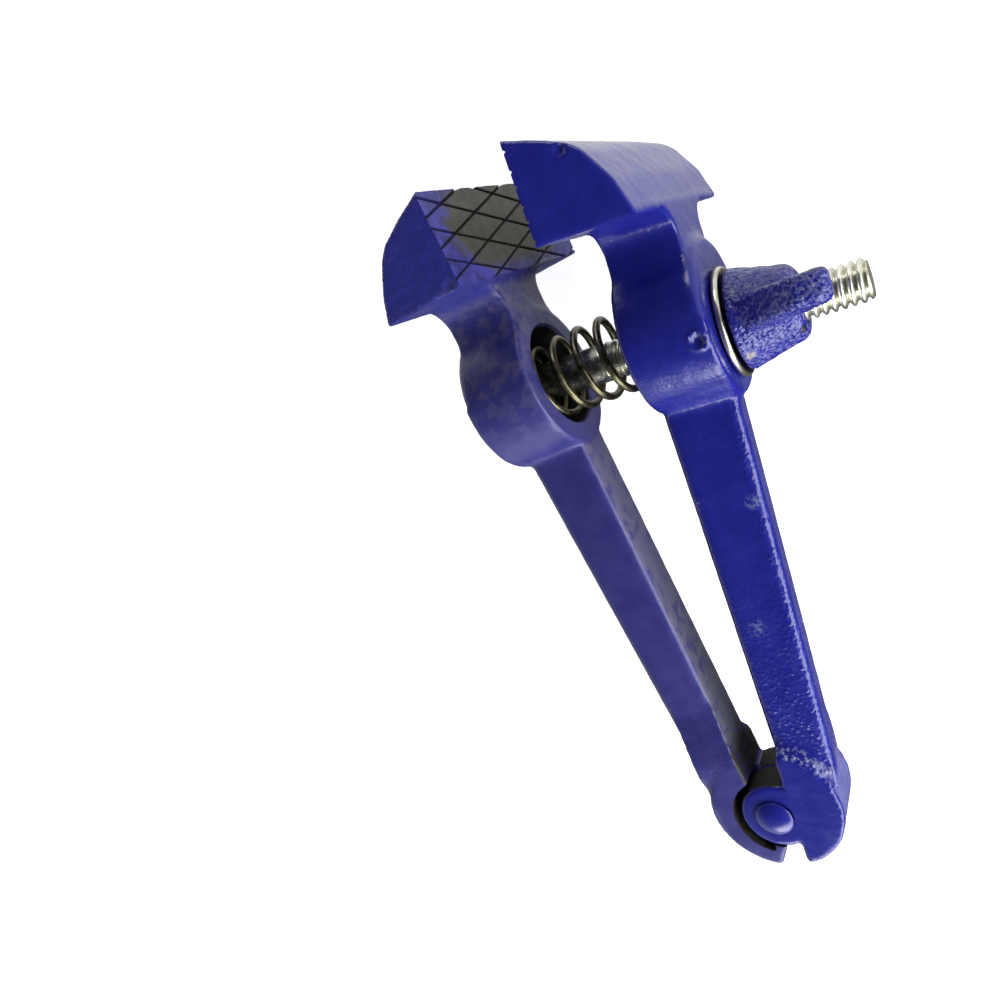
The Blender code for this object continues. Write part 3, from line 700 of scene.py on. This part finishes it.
print("casting the legs")
pattern = legPattern()
rightBlisters = [((0.01347, 0.08166, 0.01212), 0.00115, 0.00050, 0.00026),
                 ((0.00725, 0.11068, 0.0225), 0.00095, 0.00045, 0.00005),
                 ((0.00431, 0.10383, 0.0225), 0.00045, 0.00015, 0.00003)]
leftBlisters = [((0.0016, 0.1016, -0.0225), 0.0010, 0.00040, 0.00004)]
rightScuffs = [((0.0118, 0.0550, 0.00455), 0.0016), ((0.0063, 0.0343, 0.00455), 0.0021),
               ((0.0030, 0.0564, 0.00455), 0.0014)]
rightCoat = blueEnamel("glossyEnamel", movingFrame, dimpleDepth=0.00010, onLeg=True, scuffs=rightScuffs)
leftCoat = blueEnamel("dulledEnamel", fixedFrame, dimpleDepth=0.00008, onLeg=True, dull=True)
rightLeg = legFrom(pattern, "movingLegCasting", movingFrame, slotEnds=(0.07479, 0.08770), seed=3.1, lip=0.0008,
                   blisters=rightBlisters, coat=rightCoat)
leftLeg = legFrom(pattern, "fixedLegCasting", fixedFrame, slotEnds=(0.07865, 0.08774), seed=7.7, lip=-0.0002,
                  blisters=leftBlisters, coat=leftCoat)
pattern.free()
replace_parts(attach(rightLeg, "moving_leg"), "moving_leg")
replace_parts(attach(leftLeg, "fixed_leg"), "fixed_leg")


# Hinge rivet

rivet = {"shank": 0.0025, "head": 0.0031, "rise": 0.0010, "rim": 0.0003, "offCentre": 0.0004}


def rivetPiece():
    seat = leg["halfHinge"] + vise["gap"]
    head, rim, rise = rivet["head"], rivet["rim"], rivet["rise"]
    cap = [(seat + rise, 0), (seat + rise * 0.93, head * 0.45), (seat + rise * 0.62, head * 0.75),
           (seat + rim * 1.1, head * 0.94), (seat + rim * 0.6, head), (seat, head), (seat, rivet["shank"])]
    bm = turned(cap + [(-along, radius) for along, radius in reversed(cap)], 64)
    for vert in bm.verts:  # the hammered head sits a little off the shank
        if vert.co.x > seat - 1e-6 and vert.co.yz.length > 0:
            vert.co.z += rivet["offCentre"]
    placed(bm, Matrix.Translation(vise["hinge"]) @ Matrix.Rotation(-pi / 2, 4, "Y"))
    bm = afterModifier(bm, "SUBSURF", levels=2, render_levels=2)
    coat = blueEnamel("rivetEnamel", movingFrame, dimpleDepth=0.00001)
    made = finished("peenedRivet", bm, [coat], 60)
    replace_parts(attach(made, "fixed_leg"), "hinge_rivet")
    return made


print("peening the rivet")
rivetPiece()


# Clamping screw, along X from under its head

screw = {"radius": 0.0031, "root": 0.00245, "pitch": 0.00127, "grip": 0.041928, "beyond": 0.01988,
         "threadStart": 0.0218, "tipChamfer": 0.0006, "height": 0.0814, "head": 0.0065, "headHeight": 0.00338,
         "headRim": 0.0008, "headEdge": 0.00025, "square": 0.0062, "squareLength": 0.0050,
         "squareEdge": 0.0005}
screwFrame = movingFrame @ Matrix.Translation((leg["bossOuter"] - screw["grip"], screw["height"], 0))


def offAxis(tree, axes):
    # Distance from the axis that a turned piece has along X
    across = node(tree, "CombineXYZ", {"Y": axes.outputs[1], "Z": axes.outputs[2]}).outputs[0]
    return node(tree, "VectorMath", {0: across}, operation="LENGTH").outputs["Value"]


def screwFinish():
    made, tree, shader = newFinish("zincPlate", Metallic=0.95)
    place = ownCoords(tree, screwFrame)
    axes = node(tree, "SeparateXYZ", {"Vector": place})
    stains = grainOf(tree, place, 0.0018, 4.0, 0.6)
    fine = grainOf(tree, place, 0.0004, 2.0, 0.5)
    bright = mixColour(tree, ramp(tree, stains, 0.35, 0.68), (0.90, 0.90, 0.80, 1), (0.72, 0.71, 0.58, 1))
    inRoots = ramp(tree, offAxis(tree, axes), screw["root"], screw["radius"] * 0.90, 0.60, 0.0)
    rooted = mixColour(tree, inRoots, bright, (0.33, 0.33, 0.23, 1))
    frayed = maths(tree, "ADD", axes.outputs[0], ramp(tree, stains, 0.2, 0.8, -0.004, 0.004))
    oily = times(tree, fade(tree, frayed, 0.019, 0.026), ramp(tree, stains, 0.3, 0.55, 0.4, 0.95))
    tree.links.new(mixColour(tree, oily, rooted, (0.070, 0.064, 0.045, 1)), shader.inputs["Base Color"])
    tree.links.new(ramp(tree, stains, 0.3, 0.7, 0.22, 0.42), shader.inputs["Roughness"])
    bumps(tree, shader, [(fine, 0.3, 0.00004)])
    return made


def screwPiece():
    end = screw["grip"] + screw["beyond"]
    bm = bmesh.new()
    ends = [bm.verts.new((-0.0002, screw["radius"], 0)), bm.verts.new((end, screw["radius"], 0))]
    line = bm.edges.new(ends)
    bmesh.ops.subdivide_edges(bm, edges=[line], cuts=int(end / screw["pitch"] * 11))
    bmesh.ops.spin(bm, geom=bm.verts[:] + bm.edges[:], cent=(0, 0, 0), axis=(1, 0, 0), angle=2 * pi, steps=40,
                   use_merge=True)
    bmesh.ops.remove_doubles(bm, verts=bm.verts, dist=1e-6)
    for vert in bm.verts:  # the thread runs out at its start and is chamfered at the tip
        along = vert.co.x - screw["threadStart"]
        phase = (vert.co.x / screw["pitch"] + atan2(vert.co.z, vert.co.y) / (2 * pi)) % 1
        groove = (0.5 - 0.5 * cos(2 * pi * phase)) ** 1.5
        depth = (screw["radius"] - screw["root"]) * groove * min(max(along / (2 * screw["pitch"]), 0), 1)
        tip = max(0, vert.co.x - (end - screw["tipChamfer"])) * 0.9
        size = (screw["radius"] - max(depth, tip)) / screw["radius"]
        vert.co.y *= size
        vert.co.z *= size
    rims = [edge for edge in bm.edges if edge.is_boundary]
    bmesh.ops.holes_fill(bm, edges=rims, sides=0)
    bmesh.ops.recalc_face_normals(bm, faces=bm.faces)
    rim = screw["headRim"]
    rise = screw["headHeight"] - rim
    dome = (screw["head"] ** 2 + rise ** 2) / (2 * rise)
    profile = []
    for step in range(13):
        angle = atan2(screw["head"], dome - rise) * step / 12
        profile.append((-screw["headHeight"] + dome - dome * cos(angle), dome * sin(angle)))
    profile[-1] = (-rim, screw["head"])
    head = turned(profile + [(0, screw["head"]), (0, 0)], 64)
    softened(head, screw["headEdge"], 2, lambda edge: isSharp(edge)
             and edge.verts[0].co.yz.length > screw["head"] * 0.9)
    half, under = screw["square"] / 2, -0.0004
    square = placed(block([(-half, -half), (half, -half), (half, half), (-half, half)],
                          [screw["squareEdge"]] * 4, under, screw["squareLength"]), lengthwise)
    bm = carved(carved(bm, square, "UNION"), head, "UNION")
    placed(bm, screwFrame)
    made = finished("threadedScrew", bm, [screwFinish()], 45)
    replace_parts(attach(made, "screw"), "clamping_screw")
    return made


print("threading the screw")
screwPiece()


# Washer

washer = {"radius": 0.00835, "thickness": 0.0010, "hole": 0.0034, "edge": 0.00047}
nut = {"grain": 0.00024, "base": 0.00765, "shoulder": 0.00584, "end": 0.0040, "height": 0.0092,
       "shoulderHeight": 0.0068, "bore": 0.00330, "turn": radians(11.3), "reach": 0.0132, "tipHeight": 0.0148,
       "tipLength": 0.0043, "rootThickness": 0.0052, "tipThickness": 0.0043, "wingEdge": 0.0011,
       "baseChamfer": 0.0004, "skinDepth": 0.00010, "skinSize": 0.0011, "farWingLean": radians(4)}
washerFrame = screwFrame @ Matrix.Translation((screw["grip"] + vise["gap"], 0, 0))


def washerFinish():
    made, tree, shader = newFinish("washerPlate", Metallic=1.0)
    place = ownCoords(tree, washerFrame)
    stains = grainOf(tree, place, 0.0025, 4.0, 0.55)
    fine = grainOf(tree, place, 0.0004, 2.0, 0.5)
    axes = node(tree, "SeparateXYZ", {"Vector": place})
    plate = mixColour(tree, ramp(tree, stains, 0.35, 0.65), (0.70, 0.69, 0.60, 1), (0.50, 0.48, 0.38, 1))
    # A near-black ring on the washer's front face round the nut's base: painted shadow and painted reflection
    # of the dark nut
    paintedShadowRing = times(tree, fade(tree, offAxis(tree, axes), nut["base"] + 0.0001, nut["base"] + 0.0004),
                   ramp(tree, axes.outputs[0], washer["thickness"] * 0.6, washer["thickness"] * 0.95))
    tree.links.new(mixColour(tree, paintedShadowRing, plate, (0.020, 0.018, 0.015, 1)), shader.inputs["Base Color"])
    tree.links.new(ramp(tree, stains, 0.3, 0.7, 0.22, 0.38), shader.inputs["Roughness"])
    bumps(tree, shader, [(fine, 0.25, 0.00003)])
    return made


def washerPiece():
    thick, out = washer["thickness"], washer["radius"]
    bm = turned([(0, washer["hole"]), (0, out), (thick, out), (thick, washer["hole"])], 96)
    softened(bm, washer["edge"], 4, lambda edge: isSharp(edge) and edge.verts[0].co.yz.length > out * 0.9)
    placed(bm, washerFrame)
    made = finished("flatWasher", bm, [washerFinish()], 45)
    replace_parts(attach(made, "washer"), "washer")
    return made


print("turning the washer")
washerPiece()


# Wing nut, along X from its base

nutFrame = (washerFrame @ Matrix.Translation((washer["thickness"] + vise["gap"], 0, 0))
            @ Matrix.Rotation(-nut["turn"], 4, "X"))


def wingSolid(side):
    low = nut["tipHeight"] - nut["tipLength"]
    corners = [(0.0061, 0.0003), (nut["reach"], low - 0.0004), (nut["reach"], nut["tipHeight"]),
               (0.0104, nut["tipHeight"]), (0.0040, 0.0070)]
    half = nut["rootThickness"] / 2
    bm = block(corners, [0, 0.0030, 0.0016, 0.0020, 0], -half, half)
    for vert in bm.verts:
        out = max(0, (vert.co.x - nut["base"]) / (nut["reach"] - nut["base"]))
        vert.co.z *= 1 + (nut["tipThickness"] / nut["rootThickness"] - 1) * out
    softened(bm, nut["wingEdge"], 3, lambda edge: isSharp(edge) and abs(spanOf(edge).z) < 0.0012)
    around = Matrix.Rotation(pi + nut["farWingLean"] if side < 0 else 0, 4, "X")
    return placed(bm, around @ Matrix(((0, 1, 0, 0), (0, 0, 1, 0), (1, 0, 0, 0), (0, 0, 0, 1))))


def nutPiece():
    profile = [(0, 0), (0, nut["base"] - nut["baseChamfer"]), (nut["baseChamfer"], nut["base"])]
    for step in range(7):
        angle = pi / 2 * step / 6
        profile.append((nut["shoulderHeight"] + (nut["height"] - nut["shoulderHeight"]) * sin(angle),
                        nut["end"] + (nut["shoulder"] - nut["end"]) * cos(angle)))
    hub = turned(profile + [(nut["height"], 0)], 72)
    bm = cast([hub, wingSolid(1), wingSolid(-1)], nut["grain"], 2, 22)
    sandSkin(bm, nut["skinDepth"], nut["skinSize"], 5.3, kept=lambda place: place.x < 0.0003)
    bore = turned([(-0.002, 0), (-0.002, nut["bore"]), (0.02, nut["bore"]), (0.02, 0)], 64)
    bm = carved(bm, bore)
    placed(bm, nutFrame)
    onNut = nutFrame.inverted() @ movingFrame
    # A pale yellowish stain at the hub's foot, and a near-black patch on the hub's rounded end, which is a
    # painted shadow
    patches = [(onNut @ Vector((0.01813, 0.07676, 0.0055)), 0.0010, (0.36, 0.34, 0.27, 1)),
               (onNut @ Vector((0.0255, 0.0779, 0.0034)), 0.0011, (0.010, 0.009, 0.010, 1))]
    coat = blueEnamel("nutEnamel", nutFrame, dimpleDepth=0.00022, size=0.80, paintedGlints=0.55, patches=patches)
    made = finished("wingNutCasting", bm, [coat], 50)
    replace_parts(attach(made, "wing_nut"), "wing_nut")
    print("wing nut", len(made.data.polygons), "faces")
    return made


print("casting the wing nut")
nutPiece()


# Spring, wound on a gentle arc between the two pocket floors

spring = {"radius": 0.00605, "wire": 0.00062, "pitch": 0.0040, "startTurn": 0.79, "drop": 0.0006,
          "endGap": 0.00048, "floor": 0.0086, "cadWire": 0.0006, "perTurn": 40}


def springFinish():
    made, tree, shader = newFinish("oiledSpringSteel", Metallic=1.0)
    coords = node(tree, "TexCoord").outputs["Object"]
    stains = grainOf(tree, coords, 0.0015, 4.0, 0.6)
    fine = grainOf(tree, coords, 0.00035, 2.0, 0.5)
    steel = mixColour(tree, ramp(tree, stains, 0.32, 0.7), (0.105, 0.096, 0.055, 1), (0.21, 0.195, 0.125, 1))
    tree.links.new(steel, shader.inputs["Base Color"])
    tree.links.new(ramp(tree, stains, 0.3, 0.7, 0.26, 0.45), shader.inputs["Roughness"])
    bumps(tree, shader, [(fine, 0.3, 0.00003)])
    return made


def springPiece():
    tilt = vise["halfOpening"]
    floor = spring["floor"] - vise["gap"] - spring["cadWire"]
    seat = leg["bossCentre"] - spring["drop"]
    endX = floor * cos(tilt) + seat * sin(tilt)
    endY = seat * cos(tilt) - floor * sin(tilt)
    bend = endX / sin(tilt)
    length = 2 * tilt * bend
    endPitch = 2 * spring["cadWire"] + spring["endGap"]
    active = (length - 2 * endPitch) / spring["pitch"]
    curls = active + 2
    curve = bpy.data.curves.new("springPath", "CURVE")
    curve.dimensions = "3D"
    curve.bevel_depth = spring["wire"]
    curve.bevel_resolution = 4
    curve.use_fill_caps = True
    path = curve.splines.new("POLY")
    count = round(curls * spring["perTurn"])
    path.points.add(count)
    centre = Vector(vise["hinge"])
    for step, point in enumerate(path.points):
        curl = curls * step / count
        along = (endPitch * min(curl, 1) + spring["pitch"] * min(max(curl - 1, 0), active)
                 + endPitch * max(curl - 1 - active, 0))
        turn = 2 * pi * (curl + spring["startTurn"])
        bearing = tilt - along / bend
        out = bend + spring["radius"] * cos(turn)
        low = endY - bend * cos(tilt)
        place = centre + Vector((-out * sin(bearing), low + out * cos(bearing), spring["radius"] * sin(turn)))
        point.co = (*place, 1)
    holder = bpy.data.objects.new("springPath", curve)
    bpy.context.scene.collection.objects.link(holder)
    bpy.context.view_layer.update()
    mesh = bpy.data.meshes.new_from_object(holder.evaluated_get(bpy.context.evaluated_depsgraph_get()))
    bpy.data.objects.remove(holder)
    bm = bmesh.new()
    bm.from_mesh(mesh)
    bmesh.ops.remove_doubles(bm, verts=bm.verts, dist=1e-6)
    bmesh.ops.recalc_face_normals(bm, faces=bm.faces)
    for face in bm.faces:
        face.material_index = 0
    made = finished("coilSpring", bm, [springFinish()], 60)
    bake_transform(made)
    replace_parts(made, "spring")
    return made


print("winding the spring")
springPiece()


# Floor, light and camera

studio = {"floorSize": 2.4, "floorColours": ((0.86, 0.86, 0.865, 1), (0.84, 0.84, 0.845, 1)),
          "floorGlow": 0.78, "ambient": 0.20, "flagHeight": 0.62, "flagSize": 1.7, "underDepth": -0.30,
          "underSize": 0.9}


def whiteShare(tree):
    # One for the rays that should see the white room, nothing for the light that falls on the vise
    rays = node(tree, "LightPath").outputs
    return maths(tree, "MAXIMUM", maths(tree, "MAXIMUM", rays["Is Camera Ray"], rays["Is Glossy Ray"]),
                 rays["Is Transmission Ray"])


def floorPiece():
    made, tree, shader = newFinish("paleSweep", Roughness=0.85, Specular_IOR_Level=0.1,
                                   Emission_Color=(1, 1, 1, 1))
    mottle = grainOf(tree, node(tree, "TexCoord").outputs["Object"], 0.03)
    tree.links.new(mixColour(tree, mottle, *studio["floorColours"]), shader.inputs["Base Color"])
    glow = times(tree, whiteShare(tree), studio["floorGlow"])
    tree.links.new(glow, shader.inputs["Emission Strength"])
    bm = bmesh.new()
    bmesh.ops.create_grid(bm, x_segments=8, y_segments=8, size=studio["floorSize"] / 2)
    floor = finished("studioFloor", bm, [made])
    floor.visible_glossy = False


def card(name, height, size, shade):
    # A shaded card that only reflections see
    made, tree, shader = newFinish(name, Base_Color=(0, 0, 0, 1), Roughness=1.0, Specular_IOR_Level=0.0,
                                   Emission_Color=(1, 1, 1, 1))
    tree.links.new(shade(tree, node(tree, "TexCoord").outputs["Object"]), shader.inputs["Emission Strength"])
    bm = bmesh.new()
    bmesh.ops.create_grid(bm, x_segments=1, y_segments=1, size=size)
    bmesh.ops.translate(bm, verts=bm.verts, vec=(0, 0, height))
    flag = finished(name, bm, [made])
    flag.visible_camera = flag.visible_diffuse = flag.visible_shadow = flag.visible_transmission = False


def overhead(tree, coords):
    # Dark over the vise, paler towards the walls
    darkest = (-0.10, 0.30, studio["flagHeight"])
    away = node(tree, "VectorMath", {0: coords, 1: darkest}, operation="DISTANCE").outputs["Value"]
    return ramp(tree, away, 0.45, 1.90, 0.02, 1.0)


def underneath(tree, coords):
    # Dark where the bars' sides look, pale where the jaws' backs look
    return ramp(tree, node(tree, "SeparateXYZ", {"Vector": coords}).outputs[1], -0.08, 0.19, 0.04, 1.05)


def softLight(name, place, target, size, power):
    data = bpy.data.lights.new(name, "AREA")
    data.shape = "RECTANGLE"
    data.size, data.size_y = size
    data.energy = power
    made = bpy.data.objects.new(name, data)
    bpy.context.scene.collection.objects.link(made)
    made.location = place
    made.rotation_euler = (Vector(target) - Vector(place)).to_track_quat("-Z", "Y").to_euler()


def whiteRoom():
    world = bpy.data.worlds.new("whiteRoom")
    world.use_nodes = True
    tree = world.node_tree
    background = tree.nodes["Background"]
    background.inputs["Color"].default_value = (1, 1, 1, 1)
    tree.links.new(ramp(tree, whiteShare(tree), 0.0, 1.0, studio["ambient"], 1.0, smooth=False),
                   background.inputs["Strength"])
    bpy.context.scene.world = world


def photoCamera():
    data = bpy.data.cameras.new("photoCamera")
    data.lens = 31.2186
    data.sensor_width = 36
    data.clip_start = 0.005
    made = bpy.data.objects.new("photoCamera", data)
    bpy.context.scene.collection.objects.link(made)
    made.location = (0.044597, 0.038953, 0.151132)
    made.rotation_euler = (radians(-22.028), radians(26.049), radians(-26.533))
    bpy.context.scene.camera = made


print("setting the studio")
floorPiece()
card("overheadFlag", studio["flagHeight"], studio["flagSize"], overhead)
card("underCard", studio["underDepth"], studio["underSize"], underneath)
whiteRoom()
softLight("eastWindow", (0.214, -0.125, 0.121), (0, -0.012, 0.025), (0.30, 0.20), 1.06)
softLight("southWindow", (0.015, -0.290, 0.145), (0, -0.012, 0.025), (0.25, 0.12), 0.65)
softLight("northWindow", (0.060, 0.400, 0.170), (0, 0.012, 0.025), (0.30, 0.06), 0.42)
photoCamera()
bpy.context.scene.view_settings.view_transform = "Standard"
